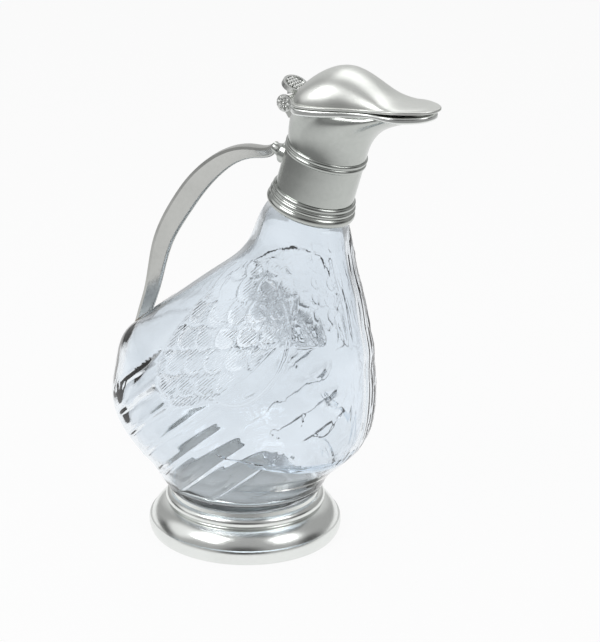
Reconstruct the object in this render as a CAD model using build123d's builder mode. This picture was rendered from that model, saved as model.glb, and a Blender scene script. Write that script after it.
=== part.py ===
from build123d import *

import os
from collections import namedtuple
from math import cos, pi, radians, sin

# Duck-shaped claret jug: a hollow glass bird in cast and turned pewter mounts, with a hinged bill lid.
# Millimetres. +X points to the bill, +Y to the bird's left, +Z up.
# The origin is the centre of the foot, on the table.

os.makedirs("parts", exist_ok=True)

# Foot, built outwards from the glass that stands in it
glass_plug_radius = 37.3
glass_seat_clearance = 0.2
foot_lip_width = 1.4
foot_bead_width = 4.3
foot_dome_width = 9.2
foot_height = 23.8
foot_rim_height = 7.6
foot_bead_height = 5.1
foot_lip_height = 2.1
foot_step = 0.3
foot_wall = 2.6
glass_sink = 9.8
foot_roof_drop = 1.0
bed_thickness = 3.0
bed_overlap = 3.5

foot_socket_radius = glass_plug_radius + glass_seat_clearance
foot_bead_radius = foot_socket_radius + foot_bead_width
foot_radius = foot_bead_radius + foot_dome_width
glass_seat_height = foot_height - glass_sink
foot_roof_height = glass_seat_height - foot_roof_drop

# Glass bird
glass_wall = 4.2
glass_base_thickness = 14.0
glass_floor_radius = 23.0
widest_share = 0.52

# Neck, tilted forward
neck_tilt = 16.1
neck_x = 41.3
neck_z = 200.0
neck_shoulder_radius = 20.1
neck_shoulder = -16.3
spigot_radius = 17.8
spigot_top = 9.0

# Flare of the bird above its foot
waist_flare = 8.7
waist_tail_reach = 1.8
waist_height = 9.2
neck_bore_radius = 13.8

# Collar tube and its mouldings, measured along the neck from the point (neck_x, neck_z)
collar_radius = 20.05
collar_wall = 1.5
collar_top = 17.9
base_ring_height = 9.9
band_height = 4.9

# Pouring mouth: outline shared by the spout's rim and the lid's edge
mouth_above_neck = 38.0
mouth_rear_x = 29.4
mouth_wide_x = 45.5
mouth_tip_x = 105.4
lid_overhang = 1.8
mouth_half_width = 22.4
waist_x = 77.0
waist_half_width = 15.2
bill_x = 89.0
bill_half_width = 16.0
rim_width = 3.0
rim_round = 1.1
bill_gap = 1.3
spout_wall = 1.3
spout_inset = 0.9

# Lid
lid_clearance = 0.3
lid_edge = 1.4
lid_wall = 1.4

# Hinge across the back of the spout
hinge_x = 25.9
hinge_above_mouth = 0.1
knuckle_radius = 2.9
knuckle_half_length = 4.4
knuckle_gap = 0.2
hinge_half_length = 7.9
pin_radius = 1.1
pin_clearance = 0.05
swing_clearance = 0.35
rosette_radius = 4.4
rosette_thickness = 1.5

# Thumb piece
thumb_above_hinge = 6.8
thumb_lean = 60.0
thumb_half_width = 8.0
thumb_half_height = 6.0
thumb_plate = 1.4
thumb_rim_width = 1.2
thumb_rim_height = 0.9
thumb_stem_width = 7.0

# The bird, its wing and its handle are drawn for these heights of the foot and the neck
drawn_foot_height = 23.8
drawn_neck_z = 200.0

# Handle, keeled on the inside of its curve
handle_width = 9.2
handle_depth = 5.3
handle_swell = 5.8
handle_edge = 1.5
handle_crown = 0.7
handle_keel_width = 3.6
handle_keel_round = 1.2
handle_neck_share = 0.62
handle_sections = 12
handle_back_line = [
    (15.5, 214.2),
    (5.0, 211.6),
    (-8.5, 208.3),
    (-20.1, 202.2),
    (-32.9, 191.0),
    (-45.6, 173.9),
    (-56.5, 152.2),
    (-62.8, 122.7),
    (-72.0, 96.0),
]
cement_gap = 0.6

# Ferrule between the collar and the handle
ferrule_along_neck = 4.4
ferrule_radius = 5.8
ferrule_flange = 3.4
ferrule_tip_radius = 3.1
ferrule_length = 10.0

# Flight feathers: a row of scoops along each flank, behind and below the wing
flute_count = 6
flute_first = (-32.0, 93.0)
flute_step_x = 12.2
flute_step_z = -6.6
flute_slope = 41.0
flute_width = 10.0
flute_depth = 1.5
flute_reach = 30.0

# Wing: a raised panel on each flank
wing_rise = 0.8
wing_outline = [
    (6, 154),
    (24, 153),
    (41, 135),
    (43, 110),
    (28, 91),
    (5, 92),
    (-19, 98),
    (-24, 108),
    (-14, 127),
]

mouth_height = neck_z + mouth_above_neck
hinge_z = mouth_height + hinge_above_mouth
thumb_x = hinge_x
thumb_z = hinge_z + thumb_above_hinge
neck_axis = Vector(sin(radians(neck_tilt)), 0, cos(radians(neck_tilt)))
neck_radial = Vector(cos(radians(neck_tilt)), 0, -sin(radians(neck_tilt)))
neck_point = Vector(neck_x, 0, neck_z)
turning_plane = Plane(origin=neck_point, x_dir=neck_radial, z_dir=(0, -1, 0))
turning_axis = Axis(neck_point, neck_axis)



def raised(height):
    """Height on this bird of a point that is drawn at another one."""
    share = (height - drawn_foot_height) / (drawn_neck_z - drawn_foot_height)
    return foot_height + share * (neck_z - foot_height)


# Oval stations of the bird, from the foot to the neck: the back point, the front point and half the width
Station = namedtuple("Station", "back_x back_z front_x front_z half_width")
neck_ring_centre = neck_point + neck_axis * neck_shoulder
neck_ring_back = neck_ring_centre - neck_radial * neck_shoulder_radius
neck_ring_front = neck_ring_centre + neck_radial * neck_shoulder_radius
body_stations = [
    Station(-glass_plug_radius, foot_height, glass_plug_radius, foot_height, glass_plug_radius),
    Station(
        -glass_plug_radius - waist_flare - waist_tail_reach,
        foot_height + waist_height,
        glass_plug_radius + waist_flare - waist_tail_reach,
        foot_height + waist_height,
        glass_plug_radius + waist_flare - waist_tail_reach,
    ),
    *(
        Station(back_x, raised(back_z), front_x, raised(front_z), half_width)
        for back_x, back_z, front_x, front_z, half_width in (
            (-60.2, 45.0, 54.6, 45.0, 50.0),
            (-73.8, 58.0, 66.0, 58.0, 54.4),
            (-78.0, 73.0, 71.2, 73.0, 53.8),
            (-76.0, 87.0, 72.4, 88.0, 51.0),
            (-73.7, 97.0, 72.2, 98.0, 48.2),
            (-64.4, 106.4, 71.8, 107.0, 44.0),
            (-50.0, 118.8, 71.0, 118.0, 37.5),
            (-30.9, 133.6, 68.2, 132.0, 29.5),
            (-9.9, 149.6, 65.0, 145.0, 23.8),
            (-0.8, 158.2, 62.4, 153.0, 21.8),
            (5.4, 168.8, 60.4, 162.0, 20.5),
            (10.4, 180.2, 58.2, 171.0, 20.2),
        )
    ),
    Station(neck_ring_back.X, neck_ring_back.Z, neck_ring_front.X, neck_ring_front.Z, neck_shoulder_radius),
]


def station_plane(station):
    """Plane of a station, with x running from the back point to the front point."""
    back = Vector(station.back_x, 0, station.back_z)
    front = Vector(station.front_x, 0, station.front_z)
    forward = (front - back).normalized()
    return Plane(origin=back, x_dir=forward, z_dir=forward.cross(Vector(0, 1, 0)))


def oval(station, inset=0.0):
    """Egg-shaped section of the bird at a station, drawn in all round by inset."""
    length = (Vector(station.front_x, 0, station.front_z) - Vector(station.back_x, 0, station.back_z)).length
    widest = length / 2 if station in (body_stations[0], body_stations[-1]) else widest_share * length
    half = station.half_width - inset
    front_radius = length - widest - inset
    back_radius = widest - inset
    with BuildSketch(station_plane(station)) as section:
        with BuildLine():
            for quarter, radius in enumerate((front_radius, back_radius, back_radius, front_radius)):
                EllipticalCenterArc((widest, 0), radius, half, 90 * quarter, arc_size=90)
        make_face()
    return section.sketch.face()


def profile(profile_points, plane):
    """Closed face of straight stretches (two numbers) and round ones (a point passed, then the end)."""
    with BuildSketch(plane) as outline:
        with BuildLine():
            start = profile_points[0]
            for step in profile_points[1:]:
                if len(step) == 2:
                    Line(start, step)
                    start = step
                else:
                    ThreePointArc(start, step[:2], step[2:])
                    start = step[2:]
            Line(start, profile_points[0])
        make_face()
    return outline.sketch.face()


# Foot shell: plain rim, domed flank, bead and lip, open underneath
with BuildPart() as foot_shell:
    bead_top = foot_height - foot_lip_height
    bead_foot = bead_top - foot_bead_height
    dome_top = bead_foot - foot_step
    foot_profile = profile(
        [
            (foot_radius - foot_wall - 0.6, 0),
            (foot_radius - 1.2, 0),
            (foot_radius + 0.2, foot_rim_height / 2, foot_radius - 0.3, foot_rim_height),
            (foot_radius - 1.1, foot_rim_height + foot_step),
            (foot_radius - 4.2, (foot_rim_height + dome_top) / 2 + 0.9, foot_bead_radius - 0.4, dome_top),
            (foot_bead_radius - 0.2, bead_foot),
            (foot_bead_radius + 0.5, bead_foot + foot_bead_height / 2, foot_bead_radius - 1.5, bead_top),
            (foot_socket_radius + foot_lip_width + 0.4, bead_top + foot_step),
            (foot_socket_radius + foot_lip_width, foot_height),
            (foot_socket_radius, foot_height),
            (foot_socket_radius, foot_roof_height),
            (foot_bead_radius, foot_roof_height),
            (foot_radius - foot_wall, foot_rim_height),
        ],
        Plane.XZ,
    )
    revolve(foot_profile, axis=Axis.Z)

# Plaster bed that the glass stands on inside the foot
with BuildPart() as foot_bed:
    bed_profile = profile(
        [
            (0, glass_seat_height - bed_thickness),
            (foot_socket_radius + bed_overlap, glass_seat_height - bed_thickness),
            (foot_socket_radius + bed_overlap, foot_roof_height),
            (foot_socket_radius, foot_roof_height),
            (foot_socket_radius, glass_seat_height),
            (0, glass_seat_height),
        ],
        Plane.XZ,
    )
    revolve(bed_profile, axis=Axis.Z)

# Solid bird without its hollow, on which the wings and the flight feathers are placed
with BuildPart() as bird_form:
    loft(sections=[oval(station) for station in body_stations])

# Wings: the bird grown by their rise, within the wing's outline on each flank
with BuildPart() as wing_panels:
    with BuildSketch(Plane.XZ) as wing:
        with BuildLine():
            Spline(*[(x, raised(z)) for x, z in wing_outline], periodic=True)
        make_face()
    for side in (1, -1):
        extrude(wing.sketch.face(), amount=side * foot_radius * 2)
    loft(sections=[oval(station, -wing_rise) for station in body_stations], mode=Mode.INTERSECT)
    add(bird_form.part, mode=Mode.SUBTRACT)

flute_radius = (flute_width**2 / 4 + flute_depth**2) / (2 * flute_depth)


def flight_feathers():
    """Planes across the axes of the scoops, each seated at its depth in the flank."""
    slope = radians(flute_slope)
    for step in range(flute_count):
        x = flute_first[0] + step * flute_step_x
        z = raised(flute_first[1] + step * flute_step_z)
        for side in (1, -1):
            sight = Axis((x, side * foot_radius * 2, z), (0, -side, 0))
            seat, outward = bird_form.part.find_intersection_points(sight)[0]
            along = Vector(-cos(slope), 0, -sin(slope))
            along = (along - outward * along.dot(outward)).normalized()
            yield Plane(origin=seat + outward * (flute_radius - flute_depth), z_dir=along)


# Glass bird: plug in the foot, oval body, round neck with a spigot inside the collar
glass_floor_height = glass_seat_height + glass_base_thickness
with BuildPart() as glass_body:
    with BuildSketch(Plane.XY.offset(glass_seat_height)):
        Circle(glass_plug_radius)
    extrude(amount=foot_height - glass_seat_height)
    loft(sections=[oval(station) for station in body_stations])
    with BuildSketch(Plane.XY.offset(glass_seat_height)):
        Circle(foot_radius)
        Circle(glass_plug_radius, mode=Mode.SUBTRACT)
    extrude(amount=foot_height - glass_seat_height, mode=Mode.SUBTRACT)
    add(wing_panels.part)
    for flute in flight_feathers():
        with BuildSketch(flute):
            Circle(flute_radius)
        extrude(amount=flute_reach, both=True, mode=Mode.SUBTRACT)
    with BuildSketch(Plane(origin=neck_ring_centre, x_dir=neck_radial, z_dir=neck_axis)):
        Circle(spigot_radius)
    extrude(amount=spigot_top - neck_shoulder)
    with BuildSketch(Plane.XY.offset(glass_floor_height)) as glass_floor:
        Circle(glass_floor_radius)
    cavity_sections = [oval(station, glass_wall) for station in body_stations[1:-1]]
    neck_mouth = Plane(origin=neck_ring_centre, x_dir=neck_radial, z_dir=neck_axis)
    with BuildSketch(neck_mouth) as neck_bore:
        Circle(neck_bore_radius)
    loft(sections=[glass_floor.sketch.face(), *cavity_sections, neck_bore.sketch.face()], mode=Mode.SUBTRACT)
    with BuildSketch(neck_mouth):
        Circle(neck_bore_radius)
    extrude(amount=spigot_top - neck_shoulder, mode=Mode.SUBTRACT)


# Cement that holds the neck spigot in the collar tube
collar_bore_radius = collar_radius - collar_wall
with BuildPart() as neck_cement:
    with BuildSketch(neck_mouth):
        Circle(collar_bore_radius)
        Circle(spigot_radius, mode=Mode.SUBTRACT)
    extrude(amount=spigot_top - neck_shoulder)

# Collar tube round the neck
with BuildPart() as collar_tube:
    with BuildSketch(neck_mouth):
        Circle(collar_radius)
        Circle(collar_bore_radius, mode=Mode.SUBTRACT)
    extrude(amount=collar_top - neck_shoulder)

# Moulding at the foot of the collar: a large bead, a smaller one and a reed
base_ring_top = neck_shoulder + base_ring_height
with BuildPart() as collar_base_ring:
    base_ring_profile = profile(
        [
            (collar_radius, neck_shoulder),
            (collar_radius + 1.5, neck_shoulder),
            (collar_radius + 2.7, neck_shoulder + 2.2, collar_radius + 1.6, neck_shoulder + 4.4),
            (collar_radius + 1.4, neck_shoulder + 4.7),
            (collar_radius + 2.0, neck_shoulder + 5.9, collar_radius + 1.1, neck_shoulder + 7.1),
            (collar_radius + 0.9, neck_shoulder + 7.4),
            (collar_radius + 1.3, base_ring_top - 1.1, collar_radius + 0.6, base_ring_top),
            (collar_radius, base_ring_top),
        ],
        turning_plane,
    )
    revolve(base_ring_profile, axis=turning_axis)

# Two reeds round the top of the collar
band_foot = collar_top - band_height
reed_height = band_height / 2
with BuildPart() as collar_band:
    band_profile = profile(
        [
            (collar_radius, band_foot),
            (collar_radius + 0.3, band_foot),
            (collar_radius + 0.9, band_foot + reed_height / 2, collar_radius + 0.3, band_foot + reed_height),
            (collar_radius + 0.9, collar_top - reed_height / 2, collar_radius + 0.3, collar_top),
            (collar_radius, collar_top),
        ],
        turning_plane,
    )
    revolve(band_profile, axis=turning_axis)

# Height of the lid's underside along the mouth, from the hinge to the tip of the bill
SeatPoint = namedtuple("SeatPoint", "x height gap rim_foot")
lid_seat = [
    SeatPoint(x, mouth_height + rise, lid_clearance + gap_share * bill_gap, mouth_height + rim_rise)
    for x, rise, gap_share, rim_rise in (
        (26.0, 2.9, 0.0, -1.0),
        (46.0, 3.0, 0.0, -0.9),
        (60.0, 3.7, 0.0, 0.2),
        (71.0, 4.1, 0.0, 0.9),
        (80.0, 4.7, 0.25, 1.5),
        (89.0, 5.6, 0.75, 1.2),
        (98.0, 6.1, 1.0, 1.2),
        (108.0, 6.2, 0.35, 2.4),
    )
]


def seat_height(x):
    """Height of the lid's underside at x, read along the straight lines between its points."""
    for low, high in zip(lid_seat, lid_seat[1:]):
        if x <= high.x:
            break
    return low.height + (high.height - low.height) * (x - low.x) / (high.x - low.x)


def mouth_outline(inset=0.0, overhang=0.0):
    """Mouth seen from above: round rear corners, a narrow waist and a spoon-shaped bill."""
    tip_x = mouth_tip_x + overhang
    middle = (mouth_rear_x + tip_x) / 2
    reach = (tip_x - mouth_rear_x) / 2

    def drawn_in(x, y):
        return (x + inset * (middle - x) / reach, max(y - inset, 0.0))

    rear = [
        drawn_in(mouth_rear_x, 0),
        drawn_in(mouth_rear_x + 3.3, 0.62 * mouth_half_width),
        drawn_in(mouth_rear_x + 8.6, 0.91 * mouth_half_width),
        drawn_in(mouth_wide_x, mouth_half_width),
    ]
    front = [
        drawn_in(mouth_wide_x, mouth_half_width),
        drawn_in((mouth_wide_x + waist_x) / 2, (mouth_half_width + waist_half_width) / 2 + 0.4),
        drawn_in(waist_x, waist_half_width),
        drawn_in(bill_x, bill_half_width),
        drawn_in(tip_x - 7.5, 0.74 * bill_half_width),
        drawn_in(tip_x, 0),
    ]
    return rear, front


def mouth_face(plane, inset=0.0, overhang=0.0):
    """Face of the mouth's outline on a plane whose x and y run along the outline's own."""
    rear, front = mouth_outline(inset, overhang)
    with BuildSketch(plane) as face:
        with BuildLine():
            Spline(*rear, tangents=[(0, 1), (1, 0)])
            Spline(*front, tangents=[(1, 0), (0, -1)])
            mirror(about=Plane.XZ)
        make_face()
    return face.sketch.face()


def side_band(lower, upper):
    """Face between two wavy lines seen from the side, each a list of (x, z) points."""
    with BuildSketch(Plane.XZ) as face:
        with BuildLine():
            Spline(*lower)
            Line(lower[-1], upper[-1])
            Spline(*upper)
            Line(upper[0], lower[0])
        make_face()
    return face.sketch.face()


# Rolled rim of the pouring mouth, which follows the lid and dips under the bill
with BuildPart() as spout_rim:
    rim_top = [(point.x, point.height - point.gap) for point in lid_seat]
    rim_foot = [(point.x, point.rim_foot) for point in lid_seat]
    extrude(mouth_face(Plane.XY.offset(hinge_z - 10)), amount=20)
    extrude(mouth_face(Plane.XY.offset(hinge_z - 10), rim_width), amount=20, mode=Mode.SUBTRACT)
    extrude(side_band(rim_foot, rim_top), amount=foot_radius, both=True, mode=Mode.INTERSECT)
    fillet(spout_rim.edges().filter_by(lambda edge: edge.length > 10), rim_round)

# Spout: a round throat on the collar that flares forward into the mouth
SpoutStation = namedtuple("SpoutStation", "rear_x rear_z front_x front_z half_width widest_x")
throat_centre = neck_point + neck_axis * collar_top
throat_plane = Plane(origin=throat_centre, x_dir=neck_radial, z_dir=neck_axis)
spout_stations = [
    SpoutStation(27.4, mouth_height - 8.4, 75.0, mouth_height - 9.4, 20.6, 47.5),
    SpoutStation(28.6, mouth_height - 4.0, 82.6, mouth_height - 4.8, 21.2, 47.0),
]
mouth_rise = 3.0
mouth_slope = mouth_rise / (mouth_tip_x - mouth_rear_x)
mouth_plane = Plane(
    origin=(0, 0, mouth_height - mouth_slope * mouth_rear_x),
    x_dir=(1, 0, mouth_slope),
    z_dir=(-mouth_slope, 0, 1),
)


def quarter_ovals(plane, centre, front_radius, rear_radius, half):
    """Oval of four quarter ellipses that meet on its long and its short axis."""
    with BuildSketch(plane) as section:
        with BuildLine():
            for quarter, radius in enumerate((front_radius, rear_radius, rear_radius, front_radius)):
                EllipticalCenterArc((centre, 0), radius, half, 90 * quarter, arc_size=90)
        make_face()
    return section.sketch.face()


def spout_sections(inset):
    """Sections of the spout from the throat to the mouth, drawn in by inset."""
    radius = collar_radius - inset
    sections = [quarter_ovals(throat_plane, 0, radius, radius, radius)]
    for station in spout_stations:
        rear = Vector(station.rear_x, 0, station.rear_z)
        forward = (Vector(station.front_x, 0, station.front_z) - rear).normalized()
        plane = Plane(origin=rear, x_dir=forward, z_dir=forward.cross(Vector(0, 1, 0)))
        sections.append(
            quarter_ovals(
                plane,
                station.widest_x - station.rear_x,
                station.front_x - station.widest_x - inset,
                station.widest_x - station.rear_x - inset,
                station.half_width - inset,
            )
        )
    sections.append(mouth_face(mouth_plane, spout_inset + inset))
    return sections


with BuildPart() as spout:
    loft(sections=spout_sections(0.0))
    loft(sections=spout_sections(spout_wall), mode=Mode.SUBTRACT)
    add(spout_rim.part, mode=Mode.SUBTRACT)

# Lid: a thin flange on the mouth's outline, a hollow dome over the throat and a nearly flat bill
LidStation = namedtuple("LidStation", "x half_width crown")
lid_stations = [
    LidStation(31.6, 8.4, 2.6),
    LidStation(35.0, 14.6, 7.6),
    LidStation(40.0, 19.2, 12.2),
    LidStation(47.0, 20.9, 16.4),
    LidStation(57.0, 19.5, 18.0),
    LidStation(65.0, 17.0, 15.9),
    LidStation(73.0, 15.0, 11.8),
    LidStation(80.0, 14.2, 7.5),
    LidStation(87.0, 14.7, 4.1),
    LidStation(94.0, 13.6, 2.6),
    LidStation(100.0, 9.8, 2.0),
    LidStation(104.2, 5.0, 1.4),
]
lid_underside = [(point.x, point.height) for point in lid_seat]
lid_flange_top = [(x, z + lid_edge) for x, z in lid_underside]


def crown_section(station, inset=0.0, skirt=0.0):
    """Upright half-oval section of the lid on its flange, drawn in by inset, with a skirt below."""
    base = seat_height(station.x) + lid_edge / 2
    with BuildSketch(Plane(origin=(station.x, 0, base), x_dir=(0, 1, 0), z_dir=(1, 0, 0))) as section:
        with BuildLine():
            half = station.half_width - inset
            crown = station.crown - lid_edge / 2 - inset
            EllipticalCenterArc((0, 0), half, crown, 0, arc_size=90)
            EllipticalCenterArc((0, 0), half, crown, 90, arc_size=90)
            Polyline((-half, 0), (-half, -lid_edge / 4 - skirt), (half, -lid_edge / 4 - skirt), (half, 0))
        make_face()
    return section.sketch.face()


with BuildPart() as lid_shell:
    extrude(mouth_face(Plane.XY.offset(hinge_z - 10), overhang=lid_overhang), amount=20)
    extrude(side_band(lid_underside, lid_flange_top), amount=foot_radius, both=True, mode=Mode.INTERSECT)
    fillet(lid_shell.edges().filter_by(lambda edge: edge.length > 10), lid_edge / 3)
    loft(sections=[crown_section(station) for station in lid_stations])
    loft(
        sections=[crown_section(station, lid_wall, lid_edge) for station in lid_stations[1:-3]],
        mode=Mode.SUBTRACT,
    )

# Hinge: the lid's centre knuckle turns on a pin held by two outer knuckles behind the spout
hinge_plane = Plane(origin=(hinge_x, 0, hinge_z), x_dir=(1, 0, 0), z_dir=(0, -1, 0))
with BuildPart() as lid_knuckle:
    leaf = profile(
        [
            (hinge_x - 1.2, hinge_z + 2.3),
            (hinge_x + 2.8, hinge_z + 4.5),
            (hinge_x + 5.6, hinge_z + 4.5),
            (hinge_x + 5.6, hinge_z + 3.1),
            (hinge_x + 3.1, hinge_z + 3.1),
            (hinge_x + 1.6, hinge_z + 1.9),
        ],
        Plane.XZ,
    )
    extrude(leaf, amount=knuckle_half_length, both=True)
    with BuildSketch(hinge_plane):
        Circle(knuckle_radius)
    extrude(amount=knuckle_half_length, both=True)
    with BuildSketch(hinge_plane):
        Circle(pin_radius + pin_clearance)
    extrude(amount=knuckle_half_length, both=True, mode=Mode.SUBTRACT)
    add(lid_shell.part, mode=Mode.SUBTRACT)

with BuildPart() as hinge_mount:
    web = profile(
        [
            (hinge_x, hinge_z),
            (hinge_x + 6.1, hinge_z + 0.5),
            (hinge_x + 6.1, hinge_z - 7.1),
            (hinge_x + 2.1, hinge_z - 7.1),
            (hinge_x - 0.8, hinge_z - 3.1),
        ],
        Plane.XZ,
    )
    extrude(web, amount=hinge_half_length, both=True)
    with BuildSketch(hinge_plane):
        Circle(knuckle_radius)
    extrude(amount=hinge_half_length, both=True)
    with BuildSketch(hinge_plane):
        Circle(knuckle_radius + swing_clearance)
    extrude(amount=knuckle_half_length + knuckle_gap, both=True, mode=Mode.SUBTRACT)
    with BuildSketch(hinge_plane):
        Circle(pin_radius)
    extrude(amount=hinge_half_length, both=True, mode=Mode.SUBTRACT)
    loft(sections=spout_sections(0.0), mode=Mode.SUBTRACT)
    add(spout_rim.part, mode=Mode.SUBTRACT)

with BuildPart() as hinge_pin:
    with BuildSketch(hinge_plane):
        Circle(pin_radius)
    extrude(amount=hinge_half_length, both=True)

# Rosette caps on both ends of the hinge
rosette_plane = Plane(origin=(hinge_x, 0, hinge_z), x_dir=(1, 0, 0), z_dir=(0, 0, 1))
with BuildPart() as hinge_rosettes:
    for side in (1, -1):
        rosette_profile = profile(
            [
                (0, side * hinge_half_length),
                (rosette_radius, side * hinge_half_length),
                (rosette_radius, side * (hinge_half_length + rosette_thickness / 2)),
                (0.5 * rosette_radius, side * (hinge_half_length + 0.9 * rosette_thickness)),
                (0, side * (hinge_half_length + rosette_thickness)),
            ],
            rosette_plane,
        )
        revolve(rosette_profile, axis=Axis((hinge_x, 0, hinge_z), (0, 1, 0)))

# Thumb piece: an oval dish that leans back on a stem behind the lid's dome
thumb_normal = (cos(radians(thumb_lean)), 0, sin(radians(thumb_lean)))
thumb_plane = Plane(origin=(thumb_x, 0, thumb_z), x_dir=(0, 1, 0), z_dir=thumb_normal)
with BuildPart() as thumb_piece:
    with BuildSketch(thumb_plane):
        Ellipse(thumb_half_width, thumb_half_height)
    extrude(amount=thumb_plate)
    with BuildSketch(thumb_plane.offset(thumb_plate)):
        Ellipse(thumb_half_width, thumb_half_height)
        Ellipse(thumb_half_width - thumb_rim_width, thumb_half_height - thumb_rim_width, mode=Mode.SUBTRACT)
    extrude(amount=thumb_rim_height)
    stem = profile(
        [
            (thumb_x - 1.6, thumb_z - 3.4),
            (thumb_x + 1.8, thumb_z - 2.4),
            (thumb_x + 7.2, thumb_z - 2.6),
            (thumb_x + 8.0, thumb_z + 0.6),
            (thumb_x + 5.0, thumb_z - 1.9),
            (thumb_x - 1.6, thumb_z + 1.0),
        ],
        Plane.XZ,
    )
    extrude(stem, amount=thumb_stem_width / 2, both=True)
    add(lid_shell.part, mode=Mode.SUBTRACT)
    add(lid_knuckle.part, mode=Mode.SUBTRACT)

# Ferrule: a turned flange and bell on the collar's rear wall
ferrule_foot = neck_point + neck_axis * ferrule_along_neck - neck_radial * collar_radius
ferrule_axis = Axis(ferrule_foot, -neck_radial)
with BuildPart() as handle_ferrule:
    ferrule_profile = profile(
        [
            (0, -ferrule_flange),
            (ferrule_radius, -ferrule_flange),
            (ferrule_radius, ferrule_flange - 1.0),
            (ferrule_radius - 0.3, ferrule_flange - 0.3, ferrule_radius - 1.0, ferrule_flange),
            (ferrule_tip_radius + 0.4, ferrule_flange + 1.8, ferrule_tip_radius, ferrule_length),
            (0, ferrule_length),
        ],
        Plane(origin=ferrule_foot, x_dir=neck_axis, z_dir=(0, -1, 0)),
    )
    revolve(ferrule_profile, axis=ferrule_axis)
    with BuildSketch(neck_mouth):
        Circle(collar_radius)
    extrude(amount=collar_top - neck_shoulder, mode=Mode.SUBTRACT)
    add(collar_band.part, mode=Mode.SUBTRACT)
    with BuildSketch(Plane.YZ.offset(handle_back_line[0][0])):
        with Locations((0, neck_z)):
            Circle(handle_width * 3)
    extrude(amount=-ferrule_length, mode=Mode.SUBTRACT)

# Handle: a flat back with a narrower keel, drawn along its curve down to the bird's tail
handle_points = [(x, 0, raised(z)) for x, z in handle_back_line]
back_line = Spline(*handle_points, tangents=[(-1, 0, 0), (-0.35, 0, -0.94)])


def handle_section(share):
    """Keeled section of the handle at a share of its length, narrower towards the ferrule."""
    growth = handle_neck_share + (1 - handle_neck_share) * min(1.0, share * 3)
    half = handle_width * growth / 2
    keel = handle_keel_width * growth / 2
    depth = handle_depth + handle_swell * sin(pi * share**0.8) ** 1.8
    plane = Plane(origin=back_line @ share, x_dir=(0, 1, 0), z_dir=back_line % share)
    return profile(
        [
            (-half, 0),
            (0, -handle_crown, half, 0),
            (half, handle_edge),
            (keel, depth - handle_keel_round),
            (0, depth, -keel, depth - handle_keel_round),
            (-half, handle_edge),
        ],
        plane,
    )


handle_faces = [handle_section(step / (handle_sections - 1)) for step in range(handle_sections)]
with BuildPart() as handle:
    loft(sections=handle_faces)
    loft(sections=[oval(station, -cement_gap) for station in body_stations], mode=Mode.SUBTRACT)

with BuildPart() as handle_cement:
    loft(sections=handle_faces)
    loft(sections=[oval(station, -cement_gap) for station in body_stations], mode=Mode.INTERSECT)
    loft(sections=[oval(station) for station in body_stations], mode=Mode.SUBTRACT)

pieces = {
    "foot_shell": foot_shell,
    "foot_bed": foot_bed,
    "glass_body": glass_body,
    "neck_cement": neck_cement,
    "collar_tube": collar_tube,
    "collar_base_ring": collar_base_ring,
    "collar_band": collar_band,
    "spout": spout,
    "spout_rim": spout_rim,
    "hinge_mount": hinge_mount,
    "hinge_pin": hinge_pin,
    "hinge_rosettes": hinge_rosettes,
    "handle": handle,
    "handle_ferrule": handle_ferrule,
    "handle_cement": handle_cement,
    "lid_shell": lid_shell,
    "lid_knuckle": lid_knuckle,
    "thumb_piece": thumb_piece,
}
for name, piece in pieces.items():
    piece.part.label = name
    export_step(piece.part, f"parts/{name}.step")
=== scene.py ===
import logging
import math
from dataclasses import dataclass
from enum import Enum
from typing import Any, Sequence

import bpy
import numpy as np
from mathutils import Matrix, Vector


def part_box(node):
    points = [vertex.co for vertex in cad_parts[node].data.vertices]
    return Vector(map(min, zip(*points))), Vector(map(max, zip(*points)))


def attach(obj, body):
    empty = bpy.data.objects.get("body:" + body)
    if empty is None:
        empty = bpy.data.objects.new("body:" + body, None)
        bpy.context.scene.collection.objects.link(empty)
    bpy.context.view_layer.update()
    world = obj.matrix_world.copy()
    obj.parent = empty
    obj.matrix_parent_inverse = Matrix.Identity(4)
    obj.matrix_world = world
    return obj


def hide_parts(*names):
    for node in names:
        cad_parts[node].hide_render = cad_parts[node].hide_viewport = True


# Duck-shaped claret jug: a clear glass bird with feather relief in pewter mounts, with a hinged
# bill lid. Metres. +X points to the bill, +Y to the bird's left, +Z up.

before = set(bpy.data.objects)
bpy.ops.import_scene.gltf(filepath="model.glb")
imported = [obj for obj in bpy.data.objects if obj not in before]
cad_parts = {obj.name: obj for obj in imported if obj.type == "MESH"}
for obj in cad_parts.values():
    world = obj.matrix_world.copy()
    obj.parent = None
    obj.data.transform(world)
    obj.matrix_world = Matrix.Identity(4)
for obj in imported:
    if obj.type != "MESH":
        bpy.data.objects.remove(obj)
log = logging.getLogger("decanter")
Colour = tuple[float, float, float]
Pair = tuple[float, float]
Fields = tuple[np.ndarray, np.ndarray]
WHITE = (1.0, 1.0, 1.0, 1.0)


class Signal:
    """Value that leaves a node, with arithmetic that adds Math nodes."""

    def __init__(self, recipe: "Recipe", socket: bpy.types.NodeSocket) -> None:
        """Keeps the recipe and the socket that the value leaves by."""
        self.recipe = recipe
        self.socket = socket

    def math(self, operation: str, *others: Any) -> "Signal":
        """Result of a Math node.

        Args:
            operation: Blender's name of the operation.
            others: Second and third values, numbers or signals.

        Returns:
            The node's value.
        """
        values = dict(enumerate((self, *others)))
        return self.recipe.node("ShaderNodeMath", {"operation": operation}, values)

    def __add__(self, other: Any) -> "Signal":
        """Sum."""
        return self.math("ADD", other)

    def __sub__(self, other: Any) -> "Signal":
        """Difference."""
        return self.math("SUBTRACT", other)

    def __mul__(self, other: Any) -> "Signal":
        """Product."""
        return self.math("MULTIPLY", other)

    def __rsub__(self, other: Any) -> "Signal":
        """Difference with the number first."""
        return self.recipe.node("ShaderNodeMath", {"operation": "SUBTRACT"}, {0: other, 1: self})

    __radd__ = __add__
    __rmul__ = __mul__


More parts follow.
